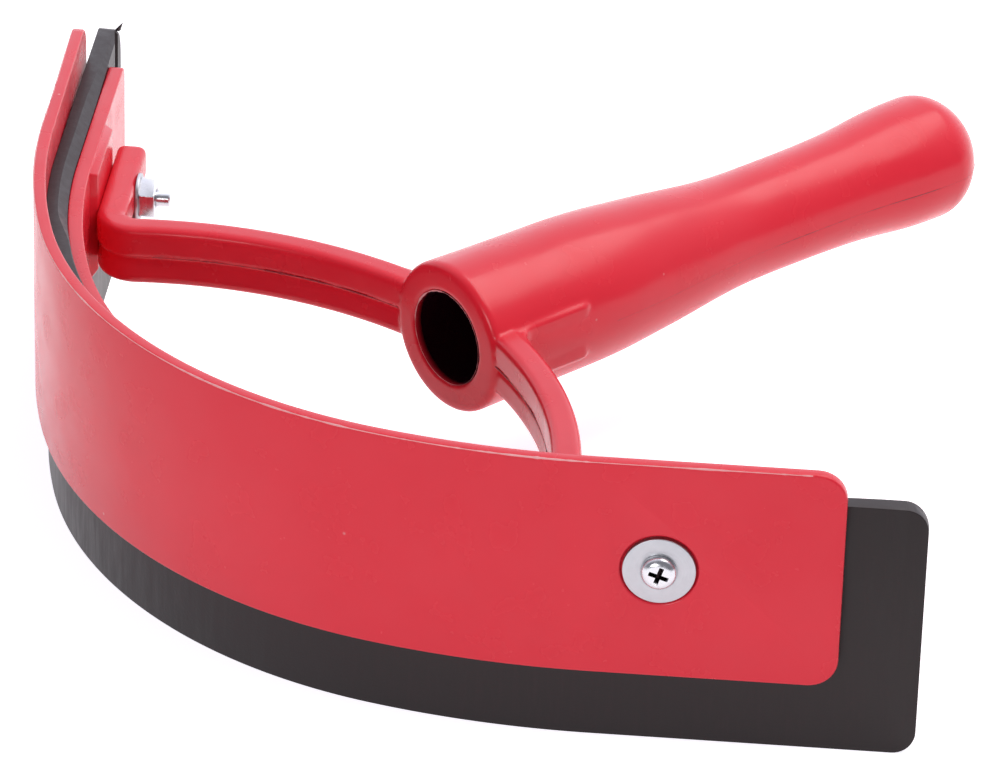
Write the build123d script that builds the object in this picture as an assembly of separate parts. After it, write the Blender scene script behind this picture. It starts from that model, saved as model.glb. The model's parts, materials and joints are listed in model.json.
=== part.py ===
from build123d import *
from math import atan2, cos, pi, radians, sin, sqrt
import os

# Horse sweat scraper: a curved rubber blade clamped between two plastic strips, with a handle
# frame bolted across them.  Millimetres.
#
# It is modelled in the band's own frame: the origin is on the outer strip's outer face, at its
# middle and its lower edge, +X to the right along the band, +Y towards the handle, +Z up.
# Only the export moves it, so that the origin is under the middle of the whole object.
# "Along" is a distance along the outer strip's outer face, from its middle.
# "Inset" is a distance from that face, square to it, towards the handle.

# Band: a tight middle bend, a wider shoulder bend and a straight run, the same on both sides
MIDDLE_RADIUS = 107.8
MIDDLE_TURN = radians(30.1)
SHOULDER_RADIUS = 173.1
SHOULDER_TURN = radians(15.3)

# Outer strip
OUTER_THICK = 2.6
OUTER_HEIGHT = 48.0
OUTER_HALF_LENGTH = 151.4
OUTER_CORNER = 6.0
STRIP_EDGE = 0.4

# Rubber blade, which stands on its lower edge and reaches below the strips
RUBBER_THICK = 4.5
RUBBER_DROP = 16.0
RUBBER_TOP = 40.0
RUBBER_HALF_LENGTH = 167.5
RUBBER_CORNER = 5.0
RUBBER_EDGE = 0.3

# Inner strip, with a raised pad under each foot of the handle frame
INNER_THICK = 3.2
INNER_HEIGHT = 27.0
INNER_HALF_LENGTH = 151.7
INNER_CORNER = 3.0
PAD_RISE = 1.6
PAD_OUTWARD = 8.0
PAD_MIDDLEWARD = 16.0
PAD_TAPER = 2.0
PAD_TOP_SLOPE = 1.4
PAD_BOTTOM_SLOPE = 2.8
PAD_ROOT = 1.0

# Bolts: round head screws a little over 4 mm thick, one on each side
BOLT_ALONG = 115.4
BOLT_HEIGHT = 24.4
BOLT_HOLE_RADIUS = 2.4
SCREW_RADIUS = 2.05
SCREW_LENGTH = 25.9
SCREW_POINT = 0.5
HEAD_RADIUS = 3.7
HEAD_HEIGHT = 2.1
HEAD_DOME = 1.7
RECESS_LENGTH = 4.6
RECESS_WIDTH = 1.0
RECESS_DEPTH = 1.3
FRONT_WASHER_RADIUS = 7.25
FRONT_WASHER_THICK = 1.4
WASHER_HOLE_RADIUS = 2.2
SINK_RADIUS = 7.7
SINK_DEPTH = 1.0
REAR_WASHER_RADIUS = 5.2
REAR_WASHER_THICK = 0.8
NUT_ACROSS_FLATS = 8.4
NUT_THICK = 3.4
NUT_BORE_RADIUS = 2.1
NUT_CHAMFER = 0.35

# Handle frame: two feet, two arms and the handle, moulded in one, a little below the bolts
FRAME_MIDDLE = 22.8
FOOT_THICK = 6.4
FOOT_OUTWARD = 14.5
FOOT_SEAT_CORNER = 1.8
FOOT_BACK_CORNER = 3.4
ARM_THICK = 6.4
ARM_RADIUS = 97.1
ARM_CENTRE = Vector(-4.05, -11.9)
ARM_START = radians(4.0)
ELBOW_OUTSIDE = 8.5
ELBOW_INSIDE = 2.5
FRAME_HEIGHT = 13.4
FRAME_EDGE = 1.5
RIB_HALF_WIDTH = 16.4
RIB_END = 107.0
RIB_END_CORNER = 3.0
RIB_ARM_BLEND = 4.0
RIB_SETBACK = 1.0

# Handle: hollow and open at the mouth, round at the tip, on an axis along +Y at the arms' height.
# The profile gives the outer radius at distances along Y.
MOUTH = 79.6
MOUTH_RADIUS = 16.5
MOUTH_EDGE = 1.6
HANDLE_TIP = 226.4
HANDLE_PROFILE = ((16.2, 98), (15.85, 118), (14.35, 135), (12.2, 155), (11.9, 172), (12.3, 190), (13.65, 205))
TIP_START = 214.0
TIP_RADIUS = 13.9
TIP_SHOULDER = 0.64
BORE_MOUTH_RADIUS = 10.4
BORE_END_RADIUS = 7.0
BORE_STRAIGHT_END = 194.0

BAND_HALFWAY = MIDDLE_RADIUS * MIDDLE_TURN
BAND_STRAIGHT = BAND_HALFWAY + SHOULDER_RADIUS * SHOULDER_TURN
RUBBER_INSET = OUTER_THICK
INNER_INSET = RUBBER_INSET + RUBBER_THICK
PAD_INSET = INNER_INSET + INNER_THICK
FOOT_INSET = PAD_INSET + PAD_RISE
REAR_WASHER_INSET = FOOT_INSET + FOOT_THICK
NUT_INSET = REAR_WASHER_INSET + REAR_WASHER_THICK
FRONT_WASHER_INSET = SINK_DEPTH - FRONT_WASHER_THICK


def band_point(along, inset):
    """The band's plan point at a distance along it and an inset."""
    side = -1 if along < 0 else 1
    run = abs(along)
    turn = min(run, BAND_HALFWAY) / MIDDLE_RADIUS
    x = MIDDLE_RADIUS * sin(turn)
    y = MIDDLE_RADIUS * (1 - cos(turn))
    if run > BAND_HALFWAY:
        start = turn
        turn += (min(run, BAND_STRAIGHT) - BAND_HALFWAY) / SHOULDER_RADIUS
        x += SHOULDER_RADIUS * (sin(turn) - sin(start))
        y += SHOULDER_RADIUS * (cos(start) - cos(turn))
    if run > BAND_STRAIGHT:
        x += (run - BAND_STRAIGHT) * cos(turn)
        y += (run - BAND_STRAIGHT) * sin(turn)
    return Vector(side * (x - inset * sin(turn)), y + inset * cos(turn))


def band_edges(inset, half_length):
    """The band's plan curve at one inset, from its left end to its right end."""
    shoulder = (BAND_HALFWAY + BAND_STRAIGHT) / 2
    stations = (half_length, BAND_STRAIGHT, shoulder, BAND_HALFWAY)
    left = [band_point(-station, inset) for station in stations]
    right = [band_point(station, inset) for station in stations]
    return [
        Line(left[0], left[1]),
        ThreePointArc(left[1], left[2], left[3]),
        ThreePointArc(left[3], band_point(0, inset), right[3]),
        ThreePointArc(right[3], right[2], right[1]),
        Line(right[1], right[0]),
    ]


def strip(inset, thick, half_length, bottom, top, corner, edge):
    """A strip that follows the band, with rounded end corners and slightly rounded faces."""
    ends = [
        Line(band_point(along, inset), band_point(along, inset + thick))
        for along in (-half_length, half_length)
    ]
    plan = make_face(band_edges(inset, half_length) + band_edges(inset + thick, half_length) + ends)
    height = top - bottom
    body = Pos(0, 0, bottom) * extrude(plan, height)
    body = fillet([e for e in body.edges() if abs(e.length - thick) < 0.01], corner)
    outline = [e for e in body.edges() if min(abs(e.length - thick), abs(e.length - height)) > 0.01]
    return fillet(outline, edge)


def bolt_plane(inset):
    """The plane across the right bolt's axis: local X middleward, local Y up."""
    origin = band_point(BOLT_ALONG, inset)
    normal = band_point(BOLT_ALONG, inset + 1) - origin
    middleward = band_point(BOLT_ALONG - 1, inset) - origin
    return Plane(origin + Vector(0, 0, BOLT_HEIGHT), x_dir=middleward, z_dir=normal)


def bolt_rod(radius, start, end):
    """A round bar on the right bolt's axis, between two insets."""
    return extrude(bolt_plane(start) * Circle(radius), end - start)


def rim_at(rod, inset):
    """The round edge of a rod on the right bolt's axis that is nearest to an inset."""
    return rod.edges().filter_by(GeomType.CIRCLE).sort_by_distance(bolt_plane(inset).origin)[0]


def both_sides(shape):
    return [shape, mirror(shape, Plane.YZ)]


def make_outer_strip():
    body = strip(0, OUTER_THICK, OUTER_HALF_LENGTH, 0, OUTER_HEIGHT, OUTER_CORNER, STRIP_EDGE)
    sink = bolt_rod(SINK_RADIUS, -1, SINK_DEPTH)
    hole = bolt_rod(BOLT_HOLE_RADIUS, -1, OUTER_THICK + 1)
    return body - both_sides(sink) - both_sides(hole)


def make_rubber_blade():
    body = strip(
        RUBBER_INSET, RUBBER_THICK, RUBBER_HALF_LENGTH, -RUBBER_DROP, RUBBER_TOP, RUBBER_CORNER, RUBBER_EDGE
    )
    return body - both_sides(bolt_rod(BOLT_HOLE_RADIUS, RUBBER_INSET - 1, INNER_INSET + 1))


def make_pad():
    """The right raised pad: square where the foot's end passes over it, sloped on its other sides."""
    root_start, root_end = -PAD_OUTWARD, PAD_MIDDLEWARD
    root = Pos((root_start + root_end) / 2, 0) * Rectangle(root_end - root_start, INNER_HEIGHT)
    seat_end = PAD_MIDDLEWARD - PAD_TAPER
    seat_height = INNER_HEIGHT - PAD_TOP_SLOPE - PAD_BOTTOM_SLOPE
    seat_up = (PAD_BOTTOM_SLOPE - PAD_TOP_SLOPE) / 2
    seat = Pos((root_start + seat_end) / 2, seat_up) * Rectangle(seat_end - root_start, seat_height)
    slope = loft([bolt_plane(PAD_INSET) * root, bolt_plane(FOOT_INSET) * seat])
    return slope + extrude(bolt_plane(PAD_INSET - PAD_ROOT) * root, PAD_ROOT)


def make_inner_strip():
    bottom = BOLT_HEIGHT - INNER_HEIGHT / 2
    body = strip(
        INNER_INSET, INNER_THICK, INNER_HALF_LENGTH, bottom, bottom + INNER_HEIGHT, INNER_CORNER, STRIP_EDGE
    )
    body = body + both_sides(make_pad())
    return body - both_sides(bolt_rod(BOLT_HOLE_RADIUS, INNER_INSET - 1, FOOT_INSET + 1))


def arm_point(angle, radius):
    """A plan point at an angle from +Y about the right arm's centre of curvature."""
    return ARM_CENTRE + Vector(radius * sin(angle), radius * cos(angle))


def angle_at(point):
    """The angle from +Y of a plan point about the right arm's centre of curvature."""
    return atan2(point.X - ARM_CENTRE.X, point.Y - ARM_CENTRE.Y)


def elbow_point(start, direction, radius):
    """Where a face of the foot, followed towards the middle, meets a face of the arm."""
    from_centre = start - ARM_CENTRE
    approach = from_centre.dot(direction)
    reach = -approach - sqrt(approach ** 2 - from_centre.dot(from_centre) + radius ** 2)
    return start + direction * reach


def arm_face(end, radius):
    """One curved face of the arm, from the elbow to inside the handle's wall."""
    middle = (angle_at(end) + ARM_START) / 2
    return ThreePointArc(end, arm_point(middle, radius), arm_point(ARM_START, radius))


def make_side_plan():
    """The right foot and arm, seen from above: one bent bar."""
    seat_end = band_point(BOLT_ALONG + FOOT_OUTWARD, FOOT_INSET)
    back_end = band_point(BOLT_ALONG + FOOT_OUTWARD, REAR_WASHER_INSET)
    middleward = band_point(BOLT_ALONG - 1, 0) - band_point(BOLT_ALONG, 0)
    front_radius = ARM_RADIUS - ARM_THICK / 2
    back_radius = ARM_RADIUS + ARM_THICK / 2
    seat_elbow = elbow_point(seat_end, middleward, front_radius)
    back_elbow = elbow_point(back_end, middleward, back_radius)
    plan = make_face([
        arm_face(seat_elbow, front_radius),
        Line(seat_elbow, seat_end),
        Line(seat_end, back_end),
        Line(back_end, back_elbow),
        arm_face(back_elbow, back_radius),
        Line(arm_point(ARM_START, back_radius), arm_point(ARM_START, front_radius)),
    ])
    rounding = (
        (seat_elbow, ELBOW_OUTSIDE),
        (back_elbow, ELBOW_INSIDE),
        (seat_end, FOOT_SEAT_CORNER),
        (back_end, FOOT_BACK_CORNER),
    )
    for corner, radius in rounding:
        plan = fillet(plan.vertices().sort_by_distance(corner)[0], radius)
    return plan


def make_frame_bar():
    """Feet, arms and the ribs along the handle's sides, all of one height."""
    start = MOUTH + RIB_SETBACK
    rib = Pos(0, (start + RIB_END) / 2) * Rectangle(2 * RIB_HALF_WIDTH, RIB_END - start)
    plan = Sketch() + both_sides(make_side_plan()) + rib
    for side in (-1, 1):
        rib_corner = Vector(side * RIB_HALF_WIDTH, RIB_END)
        plan = fillet(plan.vertices().sort_by_distance(rib_corner)[0], RIB_END_CORNER)
        back_radius = ARM_RADIUS + ARM_THICK / 2
        arm_y = ARM_CENTRE.Y + sqrt(back_radius ** 2 - (RIB_HALF_WIDTH - ARM_CENTRE.X) ** 2)
        arm_corner = Vector(side * RIB_HALF_WIDTH, arm_y)
        plan = fillet(plan.vertices().sort_by_distance(arm_corner)[0], RIB_ARM_BLEND)
    bottom = FRAME_MIDDLE - FRAME_HEIGHT / 2
    bar = Pos(0, 0, bottom) * extrude(plan, FRAME_HEIGHT)
    rims = bar.edges().group_by(Axis.Z)
    return fillet(rims[0] + rims[-1], FRAME_EDGE)


def turned(profile):
    """A solid turned about the handle's axis from a plan profile of its right half."""
    return Pos(0, 0, FRAME_MIDDLE) * revolve(make_face(profile), Axis.Y)


def make_handle():
    """The handle's outer shape, without its bore."""
    start = Vector(MOUTH_RADIUS, MOUTH + MOUTH_EDGE)
    bend = Vector(MOUTH_RADIUS - MOUTH_EDGE * (1 - cos(pi / 4)), MOUTH + MOUTH_EDGE * (1 - sin(pi / 4)))
    face = Vector(MOUTH_RADIUS - MOUTH_EDGE, MOUTH)
    side_points = [start, *(Vector(*point) for point in HANDLE_PROFILE), Vector(TIP_RADIUS, TIP_START)]
    tip_length = HANDLE_TIP - TIP_START
    tip_shoulder = Vector(TIP_RADIUS * TIP_SHOULDER, TIP_START + tip_length * sin(pi / 4))
    return turned([
        Line((0, MOUTH), face),
        ThreePointArc(face, bend, start),
        Spline(*side_points, tangents=[(0, 1), (0, 1)]),
        Spline(side_points[-1], tip_shoulder, (0, HANDLE_TIP), tangents=[(0, 1), (-1, 0)]),
        Line((0, HANDLE_TIP), (0, MOUTH)),
    ])


def make_bore():
    """The handle's tapered bore, with a round end."""
    bend = cos(pi / 4) * BORE_END_RADIUS
    return turned([
        Polyline((0, BORE_STRAIGHT_END + BORE_END_RADIUS), (0, 0), (BORE_MOUTH_RADIUS, 0)),
        Polyline((BORE_MOUTH_RADIUS, 0), (BORE_MOUTH_RADIUS, MOUTH), (BORE_END_RADIUS, BORE_STRAIGHT_END)),
        ThreePointArc(
            (BORE_END_RADIUS, BORE_STRAIGHT_END),
            (bend, BORE_STRAIGHT_END + bend),
            (0, BORE_STRAIGHT_END + BORE_END_RADIUS),
        ),
    ])


def make_handle_frame():
    hole = bolt_rod(BOLT_HOLE_RADIUS, FOOT_INSET - 1, REAR_WASHER_INSET + 1)
    return make_frame_bar() + make_handle() - make_bore() - both_sides(hole)


def make_screw():
    """The right screw, with a low domed head and a cross recess."""
    head_start = FRONT_WASHER_INSET - HEAD_HEIGHT
    screw_end = FRONT_WASHER_INSET + SCREW_LENGTH
    head = bolt_rod(HEAD_RADIUS, head_start, FRONT_WASHER_INSET)
    head = fillet(rim_at(head, head_start), HEAD_DOME)
    shank = bolt_rod(SCREW_RADIUS, FRONT_WASHER_INSET, screw_end)
    shank = chamfer(rim_at(shank, screw_end), SCREW_POINT)
    cross = Rectangle(RECESS_LENGTH, RECESS_WIDTH) + Rectangle(RECESS_WIDTH, RECESS_LENGTH)
    recess = extrude(bolt_plane(head_start - 1) * cross, RECESS_DEPTH + 1)
    return head + shank - recess


def make_front_washer():
    disc = bolt_rod(FRONT_WASHER_RADIUS, FRONT_WASHER_INSET, SINK_DEPTH)
    return disc - bolt_rod(WASHER_HOLE_RADIUS, FRONT_WASHER_INSET - 1, SINK_DEPTH + 1)


def make_rear_washer():
    disc = bolt_rod(REAR_WASHER_RADIUS, REAR_WASHER_INSET, NUT_INSET)
    return disc - bolt_rod(WASHER_HOLE_RADIUS, REAR_WASHER_INSET - 1, NUT_INSET + 1)


def make_nut():
    """The right hexagon nut, with its corners turned down at both faces."""
    hexagon = RegularPolygon(NUT_ACROSS_FLATS / 2, 6, major_radius=False)
    prism = extrude(bolt_plane(NUT_INSET) * hexagon, NUT_THICK)
    turned_bar = bolt_rod(NUT_ACROSS_FLATS / sqrt(3), NUT_INSET, NUT_INSET + NUT_THICK)
    turned_bar = chamfer(turned_bar.edges().filter_by(GeomType.CIRCLE), NUT_CHAMFER)
    bore = bolt_rod(NUT_BORE_RADIUS, NUT_INSET - 1, NUT_INSET + NUT_THICK + 1)
    return (prism & turned_bar) - bore


def save(node, shape):
    """Writes one node, moved so that the origin is under the middle of the whole object."""
    export_step(Pos(0, -HANDLE_TIP / 2, RUBBER_DROP) * shape, f"parts/{node}.step")


os.makedirs("parts", exist_ok=True)
save("outer_strip", make_outer_strip())
save("rubber_blade", make_rubber_blade())
save("inner_strip", make_inner_strip())
save("handle_frame", make_handle_frame())
hardware = {
    "screw": make_screw(),
    "front_washer": make_front_washer(),
    "rear_washer": make_rear_washer(),
    "nut": make_nut(),
}
for name, shape in hardware.items():
    save(f"right_{name}", shape)
    save(f"left_{name}", mirror(shape, Plane.YZ))
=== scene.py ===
import json
import random
from math import atan2, cos, pi, radians, sin, sqrt

import bmesh
import bpy
from mathutils import Matrix, Vector


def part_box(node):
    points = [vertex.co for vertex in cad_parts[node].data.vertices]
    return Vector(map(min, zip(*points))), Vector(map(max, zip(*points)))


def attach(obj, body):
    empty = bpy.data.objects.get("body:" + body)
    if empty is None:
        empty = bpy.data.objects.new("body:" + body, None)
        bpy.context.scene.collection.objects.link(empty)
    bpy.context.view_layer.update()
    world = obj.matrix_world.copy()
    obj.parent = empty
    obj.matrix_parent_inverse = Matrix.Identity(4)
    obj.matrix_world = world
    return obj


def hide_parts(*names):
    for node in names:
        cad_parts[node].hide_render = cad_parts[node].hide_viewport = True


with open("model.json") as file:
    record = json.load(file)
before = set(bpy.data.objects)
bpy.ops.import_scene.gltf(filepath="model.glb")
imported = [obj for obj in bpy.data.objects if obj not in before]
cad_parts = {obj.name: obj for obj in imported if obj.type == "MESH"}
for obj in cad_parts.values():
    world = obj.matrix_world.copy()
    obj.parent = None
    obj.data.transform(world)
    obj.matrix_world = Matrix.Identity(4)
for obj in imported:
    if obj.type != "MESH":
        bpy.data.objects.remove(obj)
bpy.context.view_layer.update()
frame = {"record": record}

MM = 0.001
UP = Vector((0, 0, 1))

# Places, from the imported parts
BAND_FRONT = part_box("outer_strip")[0].y
STRIP_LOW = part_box("outer_strip")[0].z
STRIP_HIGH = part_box("outer_strip")[1].z
RUBBER_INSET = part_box("rubber_blade")[0].y - BAND_FRONT
RUBBER_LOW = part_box("rubber_blade")[0].z
RUBBER_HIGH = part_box("rubber_blade")[1].z
INNER_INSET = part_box("inner_strip")[0].y - BAND_FRONT
INNER_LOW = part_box("inner_strip")[0].z
INNER_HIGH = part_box("inner_strip")[1].z
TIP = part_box("handle_frame")[1].y
BOLT_HIGH = STRIP_LOW + 24.4 * MM
FRAME_HIGH = STRIP_LOW + 22.8 * MM

# The band's curve: a tight middle bend, a wider shoulder bend and a straight run
MIDDLE_RADIUS = 107.8 * MM
MIDDLE_TURN = radians(30.1)
SHOULDER_RADIUS = 173.1 * MM
SHOULDER_TURN = radians(15.3)
BEND_LENGTH = MIDDLE_RADIUS * MIDDLE_TURN + SHOULDER_RADIUS * SHOULDER_TURN
END_TURN = MIDDLE_TURN + SHOULDER_TURN
ALONG = Vector((cos(END_TURN), sin(END_TURN), 0))
INWARD = Vector((-sin(END_TURN), cos(END_TURN), 0))
OUTER_HALF_LENGTH = 151.4 * MM
RUBBER_HALF_LENGTH = 167.5 * MM
INNER_HALF_LENGTH = 151.7 * MM

# Thicknesses, from the front of the band to the nut
OUTER_THICK = RUBBER_INSET
RUBBER_THICK = INNER_INSET - RUBBER_INSET
INNER_THICK = 3.2 * MM
PAD_INSET = INNER_INSET + INNER_THICK
FOOT_INSET = PAD_INSET + 1.6 * MM
FOOT_THICK = 6.4 * MM
REAR_WASHER_INSET = FOOT_INSET + FOOT_THICK
NUT_INSET = REAR_WASHER_INSET + 0.8 * MM
BOLT_ALONG = 115.4 * MM
BOLT_HOLE_RADIUS = 2.4 * MM
SINK_RADIUS = 7.7 * MM
SINK_DEPTH = 1.0 * MM
HEAD_INSET = -0.4 * MM

# The outer strip's left end is bent a little outwards, past this place
SPLAY_START = BOLT_ALONG + 4 * MM
SPLAY_SLOPE = 0.022


# ---------------------------------------------------------------- small tools


def activate(piece):
    bpy.ops.object.select_all(action="DESELECT")
    piece.select_set(True)
    bpy.context.view_layer.objects.active = piece


def start_edit(piece):
    activate(piece)
    bpy.ops.object.mode_set(mode="EDIT")
    bpy.ops.mesh.select_all(action="SELECT")


def end_edit():
    bpy.ops.object.mode_set(mode="OBJECT")


def pick(piece, kind, test):
    """In edit mode, selects only the vertices, edges or faces that pass a test."""
    kinds = ("VERT", "EDGE", "FACE")
    bpy.ops.mesh.select_all(action="DESELECT")
    bpy.context.tool_settings.mesh_select_mode = [kind == name for name in kinds]
    mesh = bmesh.from_edit_mesh(piece.data)
    items = (mesh.verts, mesh.edges, mesh.faces)[kinds.index(kind)]
    for item in items:
        if test(item):
            item.select_set(True)
    bmesh.update_edit_mesh(piece.data)


def ends(item):
    return [vertex.co for vertex in item.verts]


def modify(piece, kind, **settings):
    modifier = piece.modifiers.new(kind.lower(), kind)
    for name, value in settings.items():
        setattr(modifier, name, value)
    activate(piece)
    bpy.ops.object.modifier_apply(modifier=modifier.name)


def combine(piece, tool, operation):
    """Adds a tool's shape to a piece or cuts it away, and uses the tool up."""
    modify(piece, "BOOLEAN", object=tool, operation=operation, solver="EXACT")
    bpy.data.objects.remove(tool)


def tidy_normals(piece):
    start_edit(piece)
    bpy.ops.mesh.remove_doubles(threshold=0.002 * MM)
    bpy.ops.mesh.select_all(action="SELECT")
    bpy.ops.mesh.normals_make_consistent(inside=False)
    end_edit()


def settle(piece):
    """Puts a piece's place into its mesh."""
    activate(piece)
    bpy.ops.object.transform_apply(location=True, rotation=True, scale=True)


def smooth(piece, angle=35):
    activate(piece)
    bpy.ops.object.shade_smooth_by_angle(angle=radians(angle))


def soften(piece, width, angle=40):
    """Rounds every sharp edge a little."""
    modify(piece, "BEVEL", width=width, segments=3, limit_method="ANGLE", angle_limit=radians(angle))
    smooth(piece)


# ---------------------------------------------------------------- places on the band

MIDDLE_CENTRE = Vector((0, BAND_FRONT + MIDDLE_RADIUS, 0))
TOWARDS_SHOULDER = Vector((-sin(MIDDLE_TURN), cos(MIDDLE_TURN), 0))
SHOULDER_CENTRE = MIDDLE_CENTRE + (SHOULDER_RADIUS - MIDDLE_RADIUS) * TOWARDS_SHOULDER


def straight_point(along, inset, z):
    """A point on the right straight run."""
    bend_end = SHOULDER_CENTRE + SHOULDER_RADIUS * Vector((sin(END_TURN), -cos(END_TURN), 0))
    return bend_end + ALONG * (along - BEND_LENGTH) + INWARD * inset + UP * z


def along_of(co):
    """How far along the band a point of its right half is."""
    bend = co - SHOULDER_CENTRE
    turn = atan2(bend.x, -bend.y)
    if turn >= END_TURN:
        return BEND_LENGTH + (co - straight_point(BEND_LENGTH, 0, 0)).dot(ALONG)
    if turn >= MIDDLE_TURN:
        return MIDDLE_RADIUS * MIDDLE_TURN + SHOULDER_RADIUS * (turn - MIDDLE_TURN)
    bend = co - MIDDLE_CENTRE
    return MIDDLE_RADIUS * atan2(bend.x, -bend.y)


def band_point(along, inset, z):
    """A point of the band, on either side."""
    side = -1 if along < 0 else 1
    run = abs(along)
    if run >= BEND_LENGTH:
        point = straight_point(run, inset, z)
    elif run >= MIDDLE_RADIUS * MIDDLE_TURN:
        turn = MIDDLE_TURN + (run - MIDDLE_RADIUS * MIDDLE_TURN) / SHOULDER_RADIUS
        point = SHOULDER_CENTRE + (SHOULDER_RADIUS - inset) * Vector((sin(turn), -cos(turn), 0)) + UP * z
    else:
        turn = run / MIDDLE_RADIUS
        point = MIDDLE_CENTRE + (MIDDLE_RADIUS - inset) * Vector((sin(turn), -cos(turn), 0)) + UP * z
    return Vector((side * point.x, point.y, point.z))


# ---------------------------------------------------------------- sweeps


def add_section(name, centre, thick, height, turn=0):
    """An upright rectangle, thick along Y and height along Z, turned about its own middle."""
    bpy.ops.mesh.primitive_plane_add(size=1, location=centre, rotation=(0, pi / 2, turn))
    piece = bpy.context.active_object
    piece.name = name
    piece.data.name = name
    piece.scale = (height, thick, 1)
    settle(piece)
    return piece


def spin(turn, centre, steps):
    """Sweeps the selection about an upright axis; a positive turn is anticlockwise from above."""
    bpy.ops.mesh.spin(steps=steps, angle=-turn, center=centre, axis=UP)


def push(step, times):
    for _ in range(times):
        bpy.ops.mesh.extrude_region_move(TRANSFORM_OT_translate={"value": step})


def mirror_half(piece):
    """Opens the start of a right half and mirrors it to the left."""
    start_edit(piece)
    pick(piece, "FACE", lambda face: all(abs(co.x) < 0.001 * MM for co in ends(face)))
    bpy.ops.mesh.delete(type="FACE")
    end_edit()
    modify(piece, "MIRROR", use_clip=True, merge_threshold=0.01 * MM)
    tidy_normals(piece)


def add_band_section(name, inset, thick, low, high):
    """An upright rectangle across the band's middle."""
    centre = Vector((0, BAND_FRONT + inset + thick / 2, (low + high) / 2))
    return add_section(name, centre, thick, high - low)


def sweep_band(piece, half_length, straight_steps=1):
    """Sweeps a section at the middle along the right half of the band."""
    start_edit(piece)
    spin(MIDDLE_TURN, MIDDLE_CENTRE, 24)
    spin(SHOULDER_TURN, SHOULDER_CENTRE, 20)
    push(ALONG * (half_length - BEND_LENGTH) / straight_steps, straight_steps)
    end_edit()


def round_band_end(piece, half_length, corner):
    """Rounds the right end's upper and lower corners."""
    end_point = straight_point(half_length, 0, 0)

    def at_corner(edge):
        first, second = ends(edge)
        at_end = all(abs((co - end_point).dot(ALONG)) < 0.01 * MM for co in (first, second))
        return at_end and abs((second - first).normalized().z) < 0.9

    start_edit(piece)
    pick(piece, "EDGE", at_corner)
    bpy.ops.mesh.bevel(offset=corner, segments=10, affect="EDGES")
    end_edit()


# ---------------------------------------------------------------- bolt axes and holes

SIDES = ("left", "right")


def bolt_turned(piece, side, inset):
    """Moves a piece modelled along +Z at the origin onto a bolt's axis, +Z towards the handle."""
    across = Matrix((-ALONG, UP, INWARD)).transposed()
    place = Matrix.Translation(straight_point(BOLT_ALONG, inset, BOLT_HIGH)) @ across.to_4x4()
    piece.matrix_world = place
    settle(piece)
    if side == "left":
        start_edit(piece)
        bpy.ops.transform.mirror(constraint_axis=(True, False, False), center_override=(0, 0, 0))
        end_edit()
        tidy_normals(piece)


def add_rod(name, radius, low, high, sides=96):
    """A round bar along +Z."""
    bpy.ops.mesh.primitive_cylinder_add(
        vertices=sides, radius=radius, depth=high - low, location=(0, 0, (low + high) / 2)
    )
    rod = bpy.context.active_object
    rod.name = name
    rod.data.name = name
    settle(rod)
    return rod


def drill(piece, radius, low, high):
    """Cuts a round hole on both bolt axes, from one inset to another."""
    for side in SIDES:
        rod = add_rod("drill", radius, low, high)
        bolt_turned(rod, side, 0)
        combine(piece, rod, "DIFFERENCE")


# ---------------------------------------------------------------- strips and blade


def splay_left_end(piece):
    """Bends a strip's left end gently outwards."""
    for vertex in piece.data.vertices:
        co = vertex.co
        run = along_of(Vector((-co.x, co.y, co.z)))
        if co.x < 0 and run > SPLAY_START:
            vertex.co = co + Vector((INWARD.x, -INWARD.y, 0)) * SPLAY_SLOPE * (run - SPLAY_START)


def make_outer_strip():
    piece = add_band_section("outer_strip_moulding", 0, OUTER_THICK, STRIP_LOW, STRIP_HIGH)
    sweep_band(piece, OUTER_HALF_LENGTH)
    round_band_end(piece, OUTER_HALF_LENGTH, 6 * MM)
    mirror_half(piece)
    drill(piece, SINK_RADIUS, -1 * MM, SINK_DEPTH)
    drill(piece, BOLT_HOLE_RADIUS, -1 * MM, OUTER_THICK + 1 * MM)
    soften(piece, 0.45 * MM)
    splay_left_end(piece)
    return piece


FACET = 2 * MM


def facet_share(along):
    """How much of the blade's top inner edge is pared away: most beside the pads, least at the middle."""
    start = min(max((along - 64 * MM) / (12 * MM), 0), 1)
    finish = min(max((156 * MM - along) / (24 * MM), 0), 1)
    return 0.12 + 0.88 * start * (0.3 + 0.7 * finish)


def make_torn_tip():
    """The little point that the cutting left on the blade's far top corner."""
    place = band_point(-RUBBER_HALF_LENGTH + 2.2 * MM, INNER_INSET + 0.2 * MM, RUBBER_HIGH)
    bpy.ops.mesh.primitive_cone_add(
        vertices=10, radius1=0.7 * MM, radius2=0.05 * MM, depth=2.4 * MM,
        location=place, rotation=(-0.2, 0.5, 0),
    )
    tip = bpy.context.active_object
    tip.name = "blade_torn_tip"
    tip.data.name = "blade_torn_tip"
    tip.scale = (0.6, 1.2, 1)
    settle(tip)
    smooth(tip, 60)
    return tip


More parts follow.
